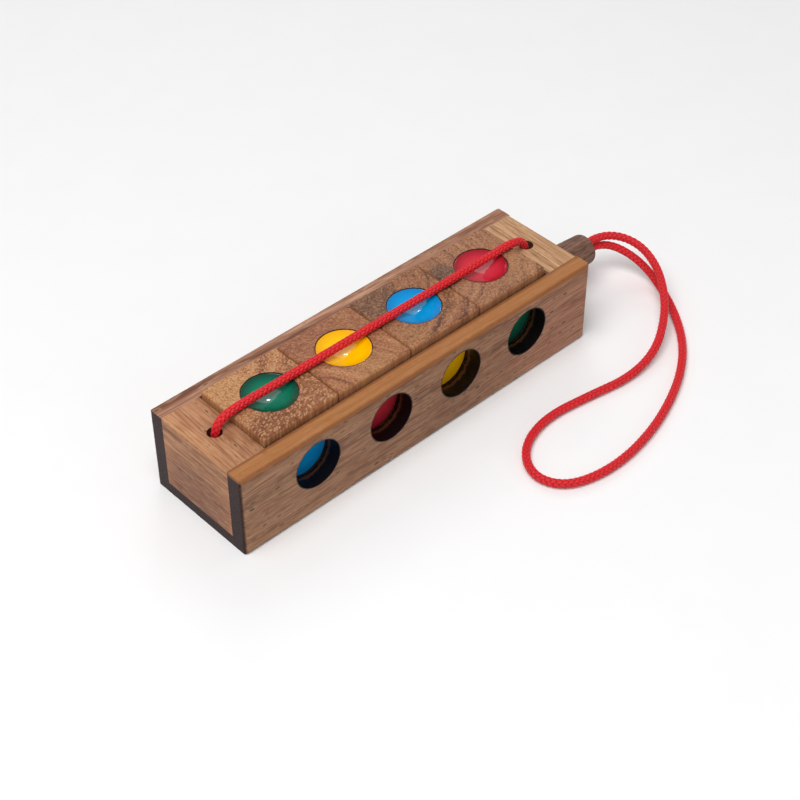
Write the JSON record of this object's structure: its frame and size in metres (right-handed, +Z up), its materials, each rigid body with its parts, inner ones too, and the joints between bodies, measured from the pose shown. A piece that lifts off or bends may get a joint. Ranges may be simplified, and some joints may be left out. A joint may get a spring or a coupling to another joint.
{
  "type": "cube row puzzle",
  "caption": "Open wooden tray with a row of colour-inlaid cubes seen through round windows, locked by a tight cord that a round peg holds.",
  "frame": {"origin": "centre of the tray's underside, on the surface it stands on", "axes": "+X along the tray towards the peg, +Y to the back wall, +Z up"},
  "size_m": [0.1521, 0.0767, 0.0298],
  "materials": {
    "tray_wood": "sanded, grey-brown hardwood with straight dark grain",
    "block_wood": "sanded, light tan hardwood",
    "cube_wood": "sanded, mixed tan hardwood",
    "peg_wood": "turned dark walnut-brown wood",
    "resin_green": "poured translucent green resin",
    "resin_yellow": "poured opaque yellow resin",
    "resin_blue": "poured opaque blue resin",
    "resin_red": "poured translucent red resin",
    "red_cord": "braided polyester cord"
  },
  "bodies": {
    "tray": {"front_wall": "tray_wood", "back_wall": "tray_wood", "floor_panel": "tray_wood", "left_end_block": "block_wood", "right_end_block": "block_wood", "anchor_knot": "red_cord", "cord_left_leg": "red_cord", "cord_left_turn": "red_cord", "cord_right_turn": "red_cord", "cord_right_leg": "red_cord"},
    "cube_1": {"cube_1_block": "cube_wood", "cube_1_top_inlay": "resin_green", "cube_1_front_inlay": "resin_blue", "cube_1_back_inlay": "resin_yellow", "cube_1_bottom_inlay": "resin_red", "cube_1_left_inlay": "resin_yellow", "cube_1_right_inlay": "resin_blue"},
    "cube_2": {"cube_2_block": "cube_wood", "cube_2_top_inlay": "resin_yellow", "cube_2_front_inlay": "resin_red", "cube_2_back_inlay": "resin_green", "cube_2_bottom_inlay": "resin_blue", "cube_2_left_inlay": "resin_red", "cube_2_right_inlay": "resin_red"},
    "cube_3": {"cube_3_block": "cube_wood", "cube_3_top_inlay": "resin_blue", "cube_3_front_inlay": "resin_yellow", "cube_3_back_inlay": "resin_red", "cube_3_bottom_inlay": "resin_green", "cube_3_left_inlay": "resin_green", "cube_3_right_inlay": "resin_yellow"},
    "cube_4": {"cube_4_block": "cube_wood", "cube_4_top_inlay": "resin_red", "cube_4_front_inlay": "resin_green", "cube_4_back_inlay": "resin_blue", "cube_4_bottom_inlay": "resin_yellow", "cube_4_left_inlay": "resin_blue", "cube_4_right_inlay": "resin_green"},
    "cord_across": {"cord_span": "red_cord"},
    "peg": {"peg": "peg_wood", "cord_loop": "red_cord", "cord_return_end": "red_cord"}
  },
  "joints": [
    {"name": "cube_1_lift", "type": "slide", "parent": "tray", "child": "cube_1", "axis": [0, 0, 1], "range_m": [0, 0.03], "deforming": ["cord_span"]},
    {"name": "cube_2_lift", "type": "slide", "parent": "tray", "child": "cube_2", "axis": [0, 0, 1], "range_m": [0, 0.03], "deforming": ["cord_span"]},
    {"name": "cube_3_lift", "type": "slide", "parent": "tray", "child": "cube_3", "axis": [0, 0, 1], "range_m": [0, 0.03], "deforming": ["cord_span"]},
    {"name": "cube_4_lift", "type": "slide", "parent": "tray", "child": "cube_4", "axis": [0, 0, 1], "range_m": [0, 0.03], "deforming": ["cord_span"]},
    {"name": "cord_aside", "type": "slide", "parent": "tray", "child": "cord_across", "axis": [0, 1, 0], "range_m": [-0.0145, 0.0145], "deforming": ["cord_left_turn", "cord_right_turn"]},
    {"name": "peg_pull", "type": "slide", "parent": "tray", "child": "peg", "axis": [1, 0, 0], "range_m": [0, 0.02]}
  ]
}
